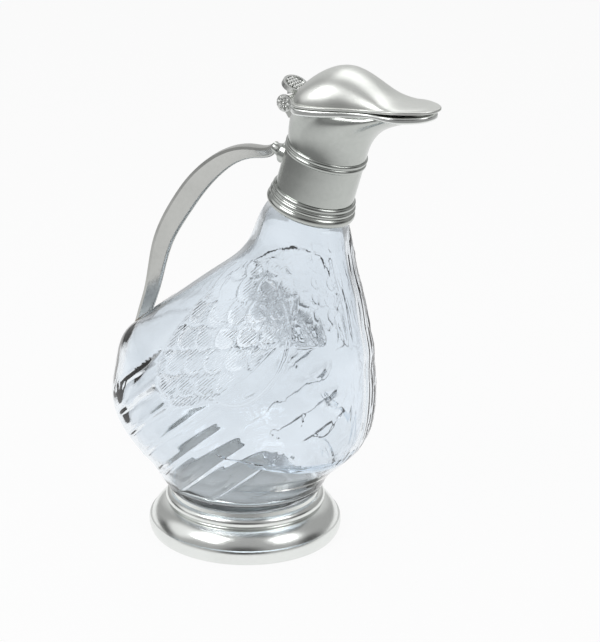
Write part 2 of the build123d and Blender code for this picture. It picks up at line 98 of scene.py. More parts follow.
class Recipe:
    """Node tree of one material."""

    def __init__(self, name: str) -> None:
        """Starts an empty tree.

        Args:
            name: Name of the material.
        """
        self.material = bpy.data.materials.new(name)
        self.material.use_nodes = True
        self.tree = self.material.node_tree
        self.tree.nodes.clear()

    def node(
        self, kind: str, settings: dict[str, Any], values: dict[Any, Any], out: Any = 0
    ) -> Signal:
        """Adds a node.

        Args:
            kind: Blender's type of the node.
            settings: Properties of the node, set before its sockets.
            values: Numbers, colours or signals for its sockets, by name or index.
            out: Name or index of the socket that the result leaves by.

        Returns:
            The signal at that socket.
        """
        made = self.tree.nodes.new(kind)
        for name, setting in settings.items():
            setattr(made, name, setting)
        for name, value in values.items():
            if isinstance(value, Signal):
                self.tree.links.new(value.socket, made.inputs[name])
            else:
                made.inputs[name].default_value = value
        return Signal(self, made.outputs[out])

    def place(self) -> Signal:
        """Object coordinates, in metres."""
        return self.node("ShaderNodeTexCoord", {}, {}, "Object")

    def stretched(self, scale: Sequence[float]) -> Signal:
        """Object coordinates scaled by axis.

        Args:
            scale: Factor along X, Y and Z.

        Returns:
            The scaled coordinates.
        """
        return self.node("ShaderNodeMapping", {}, {"Vector": self.place(), "Scale": scale})

    def noise(self, scale: float, detail: float, vector: Signal | None = None) -> Signal:
        """Soft random pattern.

        Args:
            scale: Waves in a metre.
            detail: Octaves of finer noise.
            vector: Coordinates, or none for the object's own.

        Returns:
            A value about one half.
        """
        values = {"Vector": vector or self.place(), "Scale": scale, "Detail": detail}
        return self.node("ShaderNodeTexNoise", {}, values)

    def blend(self, factor: Any, first: Colour, second: Colour) -> Signal:
        """Colour between two.

        Args:
            factor: Share of the second colour.
            first: Colour at zero.
            second: Colour at one.

        Returns:
            The mixed colour.
        """
        values = {0: factor, 6: (*first, 1.0), 7: (*second, 1.0)}
        return self.node("ShaderNodeMix", {"data_type": "RGBA"}, values, 2)

    def bump(self, height: Signal, depth: float, below: Signal | None = None) -> Signal:
        """Normal of a relief.

        Args:
            height: Height from zero to one.
            depth: Height in metres that one stands for.
            below: Normal of a coarser relief under this one.

        Returns:
            The normal.
        """
        values: dict[str, Any] = {"Height": height, "Distance": depth}
        if below:
            values["Normal"] = below
        return self.node("ShaderNodeBump", {}, values)

    def finish(self, shader: Signal) -> bpy.types.Material:
        """Ends the tree with a shader.

        Args:
            shader: Surface of the material.

        Returns:
            The finished material.
        """
        output = self.tree.nodes.new("ShaderNodeOutputMaterial")
        self.tree.links.new(shader.socket, output.inputs["Surface"])
        return self.material


@dataclass(frozen=True)
class Pewter:
    """Cast pewter, buffed by hand: soft dents, fine scratches and a faint cloudiness."""

    name: str
    light: Colour
    dark: Colour
    roughness: float
    cloud: float = 0.10
    undulation: float = 0.00012
    scratch: float = 0.000004
    cloud_waves: float = 38.0
    speck_waves: float = 420.0
    line_waves: float = 900.0
    dent_waves: float = 55.0
    line_squash: tuple[float, float, float] = (1.0, 1.0, 0.06)
    line_gloss: float = 0.05
    speck_share: float = 0.3

    def make(self) -> bpy.types.Material:
        """Builds the material."""
        recipe = Recipe(self.name)
        clouds = recipe.noise(self.cloud_waves, 4.0)
        specks = recipe.noise(self.speck_waves, 3.0)
        lines = recipe.noise(self.line_waves, 2.0, recipe.stretched(self.line_squash))
        dents = recipe.noise(self.dent_waves, 1.0)
        rough = self.roughness + self.cloud * (clouds - 0.5) + self.line_gloss * (lines - 0.5)
        normal = recipe.bump(dents, self.undulation)
        normal = recipe.bump(lines, self.scratch, normal)
        tone = clouds * (1.0 - self.speck_share) + specks * self.speck_share
        shader = recipe.node(
            "ShaderNodeBsdfPrincipled",
            {},
            {
                "Base Color": recipe.blend(tone, self.dark, self.light),
                "Metallic": 1.0,
                "Roughness": rough,
                "Normal": normal,
            },
        )
        return recipe.finish(shader)


@dataclass(frozen=True)
class ClearGlass:
    """Pressed glass with a faint blue cast, a mould's waviness and its feathers' fine barbs."""

    name: str
    tint: Colour = (0.873, 0.914, 0.952)
    shade: Colour = (0.93, 0.94, 0.95)
    refraction: float = 1.5
    mould_waves: float = 70.0
    waviness: float = 0.00010
    barb_pitch: float = 0.0013
    barb_depth: float = 0.00032
    barb_lean: float = 46.0
    wobble_waves: float = 260.0
    wobble: float = 2.5

    def make(self) -> bpy.types.Material:
        """Builds the material."""
        recipe = Recipe(self.name)
        waves = recipe.noise(self.mould_waves, 1.0)
        turn = math.radians(self.barb_lean - 90.0)
        turned = recipe.node(
            "ShaderNodeMapping", {}, {"Vector": recipe.place(), "Rotation": (0.0, turn, 0.0)}
        )
        across = recipe.node("ShaderNodeSeparateXYZ", {}, {"Vector": turned}, "X")
        wobble = recipe.noise(self.wobble_waves, 2.0) * self.wobble
        barbs = (across * (2.0 * math.pi / self.barb_pitch) + wobble).math("SINE")
        mask = recipe.node("ShaderNodeAttribute", {"attribute_name": "barbs"}, {}, "Fac")
        normal = recipe.bump(waves, self.waviness)
        normal = recipe.bump(barbs * 0.5 * mask, self.barb_depth, normal)
        glass = recipe.node(
            "ShaderNodeBsdfPrincipled",
            {},
            {
                "Base Color": (*self.tint, 1.0),
                "Roughness": 0.0,
                "IOR": self.refraction,
                "Transmission Weight": 1.0,
                "Normal": normal,
            },
        )
        shadow = recipe.node("ShaderNodeLightPath", {}, {}, "Is Shadow Ray")
        scattered = recipe.node("ShaderNodeLightPath", {}, {}, "Is Diffuse Ray")
        passing = recipe.node("ShaderNodeBsdfTransparent", {}, {"Color": (*self.shade, 1.0)})
        unseen = shadow.math("MAXIMUM", scattered)
        mixed = recipe.node("ShaderNodeMixShader", {}, {0: unseen, 1: glass, 2: passing})
        return recipe.finish(mixed)


@dataclass(frozen=True)
class Grout:
    """Plaster or cement that beds the glass, grainy and dull."""

    name: str
    light: Colour
    dark: Colour
    roughness: float = 0.85
    grain: float = 0.0002
    grain_waves: float = 900.0

    def make(self) -> bpy.types.Material:
        """Builds the material."""
        recipe = Recipe(self.name)
        grains = recipe.noise(self.grain_waves, 5.0)
        shader = recipe.node(
            "ShaderNodeBsdfPrincipled",
            {},
            {
                "Base Color": recipe.blend(grains, self.dark, self.light),
                "Roughness": self.roughness,
                "Normal": recipe.bump(grains, self.grain),
            },
        )
        return recipe.finish(shader)


def deselect() -> None:
    """Leaves nothing selected."""
    if bpy.context.object and bpy.context.object.mode != "OBJECT":
        bpy.ops.object.mode_set(mode="OBJECT")
    bpy.ops.object.select_all(action="DESELECT")


def activate(piece: bpy.types.Object) -> None:
    """Selects one object alone and makes it the active one."""
    deselect()
    piece.select_set(True)
    bpy.context.view_layer.objects.active = piece


def settle(piece: bpy.types.Object) -> None:
    """Moves an object's place into its mesh."""
    activate(piece)
    bpy.ops.object.transform_apply(location=True, rotation=True, scale=True)


def join(pieces: Sequence[bpy.types.Object], name: str, reach: float) -> bpy.types.Object:
    """Joins objects into one and merges the points that meet.

    Args:
        pieces: Objects to join.
        name: Name of the result.
        reach: Distance under which points merge.

    Returns:
        The joined object.
    """
    activate(pieces[0])
    for piece in pieces:
        piece.select_set(True)
    bpy.ops.object.join()
    bpy.ops.object.mode_set(mode="EDIT")
    bpy.ops.mesh.select_all(action="SELECT")
    bpy.ops.mesh.remove_doubles(threshold=reach)
    bpy.ops.object.mode_set(mode="OBJECT")
    joined = bpy.context.object
    joined.name = name
    return joined


def dress(piece: bpy.types.Object, material: bpy.types.Material) -> None:
    """Gives an object one material."""
    piece.data.materials.clear()
    piece.data.materials.append(material)


class Mounts:
    """The metal, cement and plaster pieces, which keep their solids and get their finishes."""

    # Pewter of the foot and the spout rim: its own colour, painted lighter than the other pewters
    # as painted light for the bright reflections that these parts show.
    PEWTER_PAINTED_LIGHT = Pewter("pewter_painted_light", (0.90, 0.92, 0.90), (0.72, 0.74, 0.72), roughness=0.21)
    # The same pewter for the collar, spout and handle ferrule: its own colour, painted darker as
    # painted shade.
    PEWTER_PAINTED_SHADE = Pewter("pewter_painted_shade", (0.60, 0.62, 0.595), (0.40, 0.42, 0.40), roughness=0.19)
    SATIN = Pewter(
        "satin_pewter", (0.82, 0.835, 0.805), (0.62, 0.635, 0.61), roughness=0.37, cloud=0.14
    )
    DRAWN = Pewter(
        "cast_handle_pewter",
        (0.63, 0.635, 0.615),
        (0.42, 0.425, 0.41),
        roughness=0.20,
        undulation=0.0003,
    )
    PLASTER = Grout("bedding_plaster", (0.72, 0.70, 0.66), (0.55, 0.53, 0.49))
    CEMENT = Grout("brown_cement", (0.42, 0.36, 0.29), (0.24, 0.20, 0.16))
    FINISHES = (
        (PEWTER_PAINTED_LIGHT, ("foot_shell", "spout_rim")),
        (PEWTER_PAINTED_SHADE, ("collar_tube", "spout", "handle_ferrule", "collar_base_ring", "collar_band")),
        (SATIN, ("lid_shell", "lid_knuckle", "hinge_mount", "hinge_pin")),
        (DRAWN, ("handle",)),
        (PLASTER, ("foot_bed",)),
        (CEMENT, ("neck_cement", "handle_cement")),
    )
    CAST = ("thumb_piece", "hinge_rosettes")

    def dress(self, cast_metal: bpy.types.Material) -> None:
        """Gives every mount its finish.

        Args:
            cast_metal: Finish of the small castings.
        """
        materials = {name: cast_metal for name in self.CAST}
        for finish, names in self.FINISHES:
            materials |= dict.fromkeys(names, finish.make())
        for name, material in materials.items():
            dress(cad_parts[name], material)
            log.info("%s finished in %s", name, material.name)


def outward(bearing: float, rise: float) -> Vector:
    """Direction away from the object.

    Args:
        bearing: Compass angle from +X towards +Y, in degrees.
        rise: Angle above the floor, in degrees.

    Returns:
        The direction, one metre long.
    """
    turn, lift = math.radians(bearing), math.radians(rise)
    level = math.cos(lift)
    return Vector((math.cos(turn) * level, math.sin(turn) * level, math.sin(lift)))


@dataclass(frozen=True)
class Patch:
    """Soft-edged lighter or darker place on the studio's walls, with its angles in degrees."""

    bearing: float
    rise: float
    spread: float
    tone: float


@dataclass(frozen=True)
class Lamp:
    """Square soft lamp that faces the object, with its angles in degrees and its power in watts."""

    name: str
    bearing: float
    rise: float
    distance: float
    size: float
    power: float


@dataclass
class Studio:
    """Pale floor, white surroundings, soft lamps, and grey walls that only gloss and glass show."""

    patches: tuple[Patch, ...] = (
        Patch(bearing=-58.0, rise=4.0, spread=34.0, tone=-0.34),
        Patch(bearing=-150.0, rise=32.0, spread=26.0, tone=0.55),
        Patch(bearing=-165.0, rise=4.0, spread=20.0, tone=-0.30),
        Patch(bearing=25.0, rise=4.0, spread=24.0, tone=-0.32),
        Patch(bearing=5.0, rise=42.0, spread=22.0, tone=0.50),
        Patch(bearing=122.0, rise=30.0, spread=40.0, tone=0.30),
    )
    lamps: tuple[Lamp, ...] = (
        Lamp("key_softbox", bearing=-112.0, rise=44.0, distance=1.0, size=0.55, power=3.4),
        Lamp("fill_softbox", bearing=2.0, rise=40.0, distance=1.2, size=0.5, power=1.7),
        Lamp("top_softbox", bearing=100.0, rise=70.0, distance=1.1, size=0.7, power=2.2),
    )
    middle: Vector = Vector((0.01, 0.0, 0.13))
    ambient: float = 0.45
    wall_tone: float = 0.40
    wall_radius: float = 2.0
    wall_foot: float = 0.02
    patch_core: float = 0.45
    floor_size: float = 6.0
    floor_paint: Colour = (0.85, 0.85, 0.86)
    floor_glow: float = 0.92
    far_glow: float = 0.3
    table_middle: tuple[float, float, float] = (-0.16, 0.25, 0.0)
    table_radius: float = 0.46
    table_fade: float = 2.2

    def build(self) -> None:
        """Sets up the studio."""
        self._world()
        self._floor()
        self._walls()
        for lamp in self.lamps:
            self._light(lamp)

    def _walls(self) -> None:
        """Round wall and ceiling that the camera and the shadows pass by."""
        recipe = Recipe("studio_wall_tone")
        away = recipe.node("ShaderNodeVectorMath", {"operation": "NORMALIZE"}, {0: recipe.place()})
        tone: Any = self.wall_tone
        for patch in self.patches:
            near = recipe.node(
                "ShaderNodeVectorMath",
                {"operation": "DOT_PRODUCT"},
                {0: away, 1: outward(patch.bearing, patch.rise)},
                "Value",
            )
            span = {
                "From Min": math.cos(math.radians(patch.spread)),
                "From Max": math.cos(math.radians(patch.spread * self.patch_core)),
            }
            soft = recipe.node(
                "ShaderNodeMapRange", {"interpolation_type": "SMOOTHSTEP"}, {"Value": near, **span}
            )
            tone = soft * patch.tone + tone
        glow = recipe.node("ShaderNodeEmission", {}, {"Color": WHITE, "Strength": tone})
        deselect()
        bpy.ops.mesh.primitive_uv_sphere_add(segments=48, ring_count=24, radius=self.wall_radius)
        walls = bpy.context.object
        walls.name = "studio_walls"
        bpy.ops.object.mode_set(mode="EDIT")
        bpy.ops.mesh.bisect(
            plane_co=(0.0, 0.0, self.wall_foot),
            plane_no=(0.0, 0.0, 1.0),
            use_fill=False,
            clear_inner=True,
        )
        bpy.ops.object.mode_set(mode="OBJECT")
        dress(walls, recipe.finish(glow))
        walls.visible_camera = False
        walls.visible_diffuse = False
        walls.visible_shadow = False

    def _world(self) -> None:
        """White to the camera, gloss and glass, and a plain soft light to all else."""
        world = bpy.data.worlds.new("studio_world")
        bpy.context.scene.world = world
        world.use_nodes = True
        tree = world.node_tree
        tree.nodes.clear()
        path = tree.nodes.new("ShaderNodeLightPath")
        output = tree.nodes.new("ShaderNodeOutputWorld")
        mix = tree.nodes.new("ShaderNodeMixShader")
        seen = [tree.nodes.new("ShaderNodeMath") for _ in range(2)]
        tree.links.new(path.outputs["Is Camera Ray"], seen[0].inputs[0])
        tree.links.new(path.outputs["Is Glossy Ray"], seen[0].inputs[1])
        tree.links.new(seen[0].outputs[0], seen[1].inputs[0])
        tree.links.new(path.outputs["Is Transmission Ray"], seen[1].inputs[1])
        seen[1].use_clamp = True
        for socket, strength in ((1, self.ambient), (2, 1.0)):
            light = tree.nodes.new("ShaderNodeBackground")
            light.inputs["Color"].default_value = WHITE
            light.inputs["Strength"].default_value = strength
            tree.links.new(light.outputs[0], mix.inputs[socket])
        tree.links.new(seen[1].outputs[0], mix.inputs[0])
        tree.links.new(mix.outputs[0], output.inputs["Surface"])

    def _floor(self) -> None:
        """Pale floor that is white to the camera and keeps a soft shadow.

        Gloss and glass see it white as well, dimming away from the table.
        """
        recipe = Recipe("pale_floor")
        camera = recipe.node("ShaderNodeLightPath", {}, {}, "Is Camera Ray")
        glossy = recipe.node("ShaderNodeLightPath", {}, {}, "Is Glossy Ray")
        through = recipe.node("ShaderNodeLightPath", {}, {}, "Is Transmission Ray")
        from_table = recipe.node(
            "ShaderNodeVectorMath",
            {"operation": "DISTANCE"},
            {0: recipe.place(), 1: self.table_middle},
            "Value",
        )
        near = recipe.node(
            "ShaderNodeMapRange",
            {"interpolation_type": "SMOOTHSTEP"},
            {
                "Value": from_table,
                "From Min": self.table_radius,
                "From Max": self.table_radius * self.table_fade,
                "To Min": 1.0,
                "To Max": self.far_glow,
            },
        )
        clamped = {"operation": "ADD", "use_clamp": True}
        shown = recipe.node("ShaderNodeMath", clamped, {0: camera, 1: (glossy + through) * near})
        seen = recipe.node("ShaderNodeMath", clamped, {0: camera + glossy, 1: through})
        paint = recipe.node("ShaderNodeBsdfDiffuse", {}, {"Color": (*self.floor_paint, 1.0)})
        glow = recipe.node("ShaderNodeEmission", {}, {"Color": WHITE, "Strength": shown})
        share = seen * self.floor_glow
        shader = recipe.node("ShaderNodeMixShader", {}, {0: share, 1: paint, 2: glow})
        deselect()
        bpy.ops.mesh.primitive_plane_add(size=self.floor_size)
        floor = bpy.context.object
        floor.name = "floor"
        dress(floor, recipe.finish(shader))

    def _light(self, lamp: Lamp) -> None:
        """Adds a lamp, turned so that it faces the object."""
        light = bpy.data.lights.new(lamp.name, "AREA")
        light.size = lamp.size
        light.energy = lamp.power
        out = outward(lamp.bearing, lamp.rise)
        turned = out.to_track_quat("Z", "Y").to_matrix().to_4x4()
        holder = bpy.data.objects.new(lamp.name, light)
        holder.matrix_world = Matrix.Translation(self.middle + out * lamp.distance) @ turned
        bpy.context.scene.collection.objects.link(holder)


@dataclass(frozen=True)
class PhotoCamera:
    """Camera at the photograph's viewing angle, above the bird's right and in front of it."""

    azimuth: float = 32.0
    elevation: float = 20.1
    roll: float = 1.15
    distance: float = 1.2
    right: float = 0.0295
    up: float = 0.1089
    focal_pixels: float = 2234.4
    frame_height: float = 642.0
    sensor: float = 36.0

    def place(self) -> None:
        """Adds the camera and makes it the scene's."""
        angles = (self.azimuth, self.elevation, self.roll)
        turn, lift, roll = (math.radians(angle) for angle in angles)
        level = math.cos(lift)
        back = Vector((math.sin(turn) * level, -math.cos(turn) * level, math.sin(lift)))
        across = Vector((math.cos(turn), math.sin(turn), 0.0))
        above = back.cross(across)
        right = across * math.cos(roll) + above * math.sin(roll)
        up = above * math.cos(roll) - across * math.sin(roll)
        spot = right * self.right + up * self.up + back * self.distance
        lens = bpy.data.cameras.new("photo_camera")
        lens.sensor_width = self.sensor
        lens.lens = self.focal_pixels / self.frame_height * self.sensor
        camera = bpy.data.objects.new("photo_camera", lens)
        turned = Matrix((right, up, back)).transposed().to_4x4()
        camera.matrix_world = Matrix.Translation(spot) @ turned
        bpy.context.scene.collection.objects.link(camera)
        bpy.context.scene.camera = camera


@dataclass(frozen=True)
class Guide:
    """Circle that a sleeve runs through.

    It holds the circle's centre in the XZ plane, its lean to the bill in degrees, and how many
    rows of faces lie between it and the next circle above.
    """

    x: float
    z: float
    lean: float = 0.0
    rows: int = 0

    def axis(self) -> Vector:
        """Direction across the circle, upwards."""
        lean = math.radians(self.lean)
        return Vector((math.sin(lean), 0.0, math.cos(lean)))


class Wall(Enum):
    """Side of the glass that a sleeve is drawn on to."""

    OUTER = "outer"
    INNER = "inner"


def fade(value: np.ndarray, low: float, high: float) -> np.ndarray:
    """Smooth step from zero at low to one at high."""
    share = np.clip((value - low) / (high - low), 0.0, 1.0)
    return share * share * (3.0 - 2.0 * share)


def band(value: np.ndarray, rise: Pair, fall: Pair) -> np.ndarray:
    """One between two soft edges and zero beyond them."""
    return fade(value, *rise) * (1.0 - fade(value, *fall))


@dataclass(frozen=True)
class Shingle:
    """Rows of round-tipped feathers on a flat map, each row lying over the next."""

    slope: float
    row_pitch: float
    width: float
    rise: float
    border: float = 0.0010
    rim: float = 0.0
    rim_place: float = 0.6
    root: float = 0.35

    def lay(self, x: np.ndarray, z: np.ndarray) -> Fields:
        """Height of the feathers.

        Args:
            x: Places across the map.
            z: Places up the map.

        Returns:
            The height at each place, and how far inside its feather it is, from zero to one.
        """
        slope = math.radians(self.slope)
        along = -x * math.cos(slope) - z * math.sin(slope)
        across = -x * math.sin(slope) + z * math.cos(slope)
        row = np.ceil(along / self.row_pitch)
        behind = self._feather(along, across, row)
        over = self._feather(along, across, row - 1)
        on_top = over[1] > 0
        height = np.where(on_top, over[0], behind[0])
        inside = np.where(on_top, over[1], behind[1])
        rim_line = self.border * self.rim_place
        rim = np.exp(-(((inside - rim_line) / rim_line) ** 2))
        inner_share = np.clip(inside / self.border - self.rim_place, 0.0, 1.0)
        return (height + self.rim * rim) * self.rise, inner_share

    def _feather(self, along: np.ndarray, across: np.ndarray, row: np.ndarray) -> Fields:
        """Height share and distance to the border of the feather of a given row at each place."""
        half = self.width / 2
        shift = np.mod(row, 2) * half
        side = np.mod(across - shift + half, self.width) - half
        past = np.maximum(along - row * self.row_pitch, 0.0)
        edge = 1.0 - np.hypot(past / self.row_pitch, side / half)
        out = np.clip((along - (row - 1) * self.row_pitch) / (2 * self.row_pitch), 0.0, 1.0)
        return self.root + (1.0 - self.root) * out, edge * half


@dataclass(frozen=True)
class Oval:
    """Turned oval in the XZ plane, with the angle of its long radius above +X in degrees."""

    centre: Pair
    radii: Pair
    turn: float

    def reach(self, x: np.ndarray, z: np.ndarray) -> np.ndarray:
        """Zero at the centre and one on the edge.

        Args:
            x: Places along X.
            z: Places along Z.

        Returns:
            The measure at each place.
        """
        angle = math.radians(self.turn)
        right, up = x - self.centre[0], z - self.centre[1]
        along = right * math.cos(angle) + up * math.sin(angle)
        across = up * math.cos(angle) - right * math.sin(angle)
        return np.hypot(along / self.radii[0], across / self.radii[1])


@dataclass
class GlassBird:
    """The hollow glass bird, remade as a fine even net that carries the feather relief."""

    outer_columns: int = 440
    inner_columns: int = 120
    thin_radius: float = 0.004
    short_of_end: float = 0.0004
    neck_lean: float = 16.1
    shoulder: Pair = (0.03678, 0.18434)
    spigot_height: float = 0.0253
    shoulder_radius: float = 0.0201
    spigot_radius: float = 0.0178
    bore_radius: float = 0.0138
    plug_radius: float = 0.0373
    plug_top: float = 0.0238
    plug_lip: float = 0.0018
    plug_chamfer: float = 0.97
    line_foot: float = 0.057
    waist: float = 0.042
    belly: float = 0.066
    back: float = 0.112
    throat: float = 0.165
    floor_height: float = 0.028
    floor_wall: float = 0.007
    floor_corner: tuple[Pair, ...] = ((0.955, 0.0315), (0.90, 0.0292))
    floor_share: float = 0.82
    clear_of_bed: float = 0.00005
    merge_reach: float = 0.00002
    tube_reach: float = 0.000002
    ring_reach: float = 0.0000002
    trough_reach: float = 0.001
    polished: Pair = (0.028, 0.170)
    polish_strength: float = 0.5
    polish_passes: int = 8
    sharp_angle: float = 50.0

    def build(self) -> bpy.types.Object:
        """Makes the glass.

        Returns:
            The finished piece.
        """
        plug_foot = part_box("glass_body")[0].z + self.clear_of_bed
        patterns = {wall: self._pattern(wall) for wall in Wall}
        outer_guides = (
            Guide(0.0, plug_foot, rows=2),
            Guide(0.0, self.plug_top, rows=1),
            Guide(0.0, self.plug_top + self.plug_lip, rows=24),
            Guide(0.0, self.waist, rows=34),
            self._on_neck_line(self.belly, rows=62),
            self._on_neck_line(self.back, rows=58),
            self._on_neck_line(self.throat, rows=16),
            self._on_neck_line(self.shoulder[1] - self.short_of_end),
        )
        inner_guides = (
            Guide(0.0, self.floor_height + self.floor_wall, rows=5),
            Guide(0.0, self.waist, rows=12),
            self._on_neck_line(self.belly, rows=16),
            self._on_neck_line(self.back, rows=18),
            self._on_neck_line(self.throat, rows=6),
            self._on_neck_line(self.shoulder[1] - self.short_of_end),
        )
        outer = self._sleeve(Wall.OUTER, self.outer_columns, outer_guides, patterns)
        self._true_plug(outer)
        self._polish(outer)
        Feathers().carve(outer)
        inner = self._sleeve(Wall.INNER, self.inner_columns, inner_guides, patterns)
        for pattern in patterns.values():
            bpy.data.objects.remove(pattern)
        self._close_bottom(outer, ((self.plug_chamfer, plug_foot),))
        self._close_bottom(inner, (*self.floor_corner, (self.floor_share, self.floor_height)))
        self._raise_spigot(outer)
        glass = self._close_neck(outer, inner)
        dress(glass, ClearGlass("clear_glass").make())
        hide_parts("glass_body")
        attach(glass, "decanter")
        return glass

    def _on_neck_line(self, height: float, rows: int = 0) -> Guide:
        """Guide circle square to the neck's line at a given height.

        Args:
            height: Height of its centre.
            rows: Rows above it.

        Returns:
            The guide circle.
        """
        back = (self.shoulder[1] - height) * math.tan(math.radians(self.neck_lean))
        return Guide(self.shoulder[0] - back, height, self.neck_lean, rows)

    def _pattern(self, wall: Wall) -> bpy.types.Object:
        """Copy of the glass solid that keeps the faces of one wall, to draw a sleeve on to.

        The faces that sag below the floor of the hollow are in neither copy.

        Args:
            wall: Wall to keep.

        Returns:
            The copy.
        """
        deselect()
        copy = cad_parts["glass_body"].copy()
        copy.data = copy.data.copy()
        copy.parent = None
        bpy.context.scene.collection.objects.link(copy)
        pattern = join([copy], f"{wall.value}_pattern", self.merge_reach)
        bpy.ops.object.mode_set(mode="EDIT")
        bpy.ops.mesh.select_mode(type="FACE")
        bpy.ops.mesh.select_all(action="DESELECT")
        bpy.ops.object.mode_set(mode="OBJECT")
        axis = Guide(0.0, 0.0, self.neck_lean).axis()
        sag_top = self.floor_height + self.trough_reach
        sag_radius = self.plug_radius - self.trough_reach
        for face in pattern.data.polygons:
            spot = face.center
            line = self._on_neck_line(max(spot.z, self.line_foot))
            out = spot - Vector((line.x, 0.0, line.z))
            out -= axis * out.dot(axis) if spot.z > self.line_foot else Vector((0.0, 0.0, out.z))
            facing_out = out.dot(face.normal) > 0.0
            sags = spot.z < sag_top and spot.to_2d().length < sag_radius
            face.select = sags or facing_out is not (wall is Wall.OUTER)
        bpy.ops.object.mode_set(mode="EDIT")
        bpy.ops.mesh.delete(type="FACE")
        bpy.ops.object.mode_set(mode="OBJECT")
        return pattern

    def _sleeve(
        self,
        wall: Wall,
        columns: int,
        guides: Sequence[Guide],
        patterns: dict[Wall, bpy.types.Object],
    ) -> bpy.types.Object:
        """Thin tube through guide circles, drawn out on to a wall of the glass.

        Args:
            wall: Wall to draw it on to.
            columns: Faces round the tube.
            guides: Circles from the bottom to the top.
            patterns: Copies of the two walls.

        Returns:
            The tube.
        """
        tubes = []
        for below, above in zip(guides, guides[1:]):
            deselect()
            rings = []
            for guide in (below, above):
                place = (guide.x, 0.0, guide.z)
                lean = (0.0, math.radians(guide.lean), 0.0)
                bpy.ops.mesh.primitive_circle_add(
                    vertices=columns, radius=self.thin_radius, location=place, rotation=lean
                )
                rings.append(bpy.context.object)
            tube = join(rings, "tube", self.ring_reach)
            bpy.ops.object.mode_set(mode="EDIT")
            bpy.ops.mesh.select_all(action="SELECT")
            bpy.ops.mesh.bridge_edge_loops(number_cuts=below.rows - 1, interpolation="LINEAR")
            bpy.ops.object.mode_set(mode="OBJECT")
            settle(tube)
            tubes.append(tube)
        sleeve = join(tubes, f"{wall.value}_sleeve", self.tube_reach)
        bpy.ops.object.mode_set(mode="EDIT")
        bpy.ops.mesh.select_all(action="SELECT")
        bpy.ops.mesh.normals_make_consistent(inside=False)
        bpy.ops.object.mode_set(mode="OBJECT")
        wrap = sleeve.modifiers.new("draw_on", "SHRINKWRAP")
        wrap.target = patterns[wall]
        wrap.wrap_method = "PROJECT"
        wrap.use_positive_direction = True
        wrap.use_negative_direction = False
        bpy.ops.object.modifier_apply(modifier=wrap.name)
        return sleeve

    def _polish(self, sleeve: bpy.types.Object) -> None:
        """Softens the edges as fire polishing does, away from the plug and the neck."""
        activate(sleeve)
        group = sleeve.vertex_groups.new(name="polished")
        low, high = self.polished
        softened = [v.index for v in sleeve.data.vertices if low < v.co.z < high]
        group.add(softened, 1.0, "REPLACE")
        smooth = sleeve.modifiers.new("polish", "SMOOTH")
        smooth.factor = self.polish_strength
        smooth.iterations = self.polish_passes
        smooth.vertex_group = group.name
        bpy.ops.object.modifier_apply(modifier=smooth.name)
        sleeve.vertex_groups.clear()

    @staticmethod
    def _select_end(piece: bpy.types.Object, top: bool) -> None:
        """Goes to edit mode with the open edge at the top or bottom of a tube selected.

        Args:
            piece: The tube.
            top: Whether the upper end is meant.
        """
        activate(piece)
        bpy.ops.object.mode_set(mode="EDIT")
        bpy.ops.mesh.select_mode(type="VERT")
        bpy.ops.mesh.select_all(action="DESELECT")
        bpy.ops.mesh.select_non_manifold(
            extend=False, use_multi_face=False, use_non_contiguous=False
        )
        bpy.ops.object.mode_set(mode="OBJECT")
        middle = sum(v.co.z for v in piece.data.vertices) / len(piece.data.vertices)
        for vertex in piece.data.vertices:
            if vertex.select and (vertex.co.z > middle) != top:
                vertex.select = False
        for edge in piece.data.edges:
            edge.select = all(piece.data.vertices[i].select for i in edge.vertices)
        for face in piece.data.polygons:
            face.select = False
        bpy.ops.object.mode_set(mode="EDIT")

    def _true_plug(self, outer: bpy.types.Object) -> None:
        """Brings the rows of the plug to its turned radius."""
        for vertex in outer.data.vertices:
            if vertex.co.z < self.plug_top + self.merge_reach:
                vertex.co.xy *= self.plug_radius / vertex.co.xy.length

    def _close_bottom(self, piece: bpy.types.Object, steps: Sequence[tuple[float, float]]) -> None:
        """Closes the lower end of a tube, stepping in to a flat bottom.

        Args:
            piece: The tube.
            steps: Share of the end's radius and height of each step, the last on the flat bottom.
        """
        self._select_end(piece, top=False)
        share, height = 1.0, steps[-1][1]
        for next_share, height in steps:
            scale = next_share / share
            bpy.ops.mesh.extrude_region_move()
            bpy.ops.transform.resize(value=(scale, scale, 0.0), center_override=(0.0, 0.0, height))
            share = next_share
        bpy.ops.mesh.extrude_region_move()
        bpy.ops.transform.resize(value=(0.0, 0.0, 1.0), center_override=(0.0, 0.0, height))
        bpy.ops.mesh.remove_doubles(threshold=self.merge_reach)
        bpy.ops.object.mode_set(mode="OBJECT")

    def _raise_spigot(self, outer: bpy.types.Object) -> None:
        """Steps the neck in to its spigot inside the collar and turns it over into the bore."""
        axis = Guide(0.0, 0.0, self.neck_lean).axis()
        foot = Vector((self.shoulder[0], 0.0, self.shoulder[1]))
        head = foot + axis * self.spigot_height
        self._select_end(outer, top=True)
        bpy.ops.mesh.extrude_region_move()
        inward = self.spigot_radius / self.shoulder_radius
        bpy.ops.transform.resize(value=(inward,) * 3, center_override=foot)
        bpy.ops.mesh.extrude_region_move()
        bpy.ops.transform.translate(value=axis * self.spigot_height)
        bpy.ops.mesh.extrude_region_move()
        inward = self.bore_radius / self.spigot_radius
        bpy.ops.transform.resize(value=(inward,) * 3, center_override=head)
        bpy.ops.object.mode_set(mode="OBJECT")

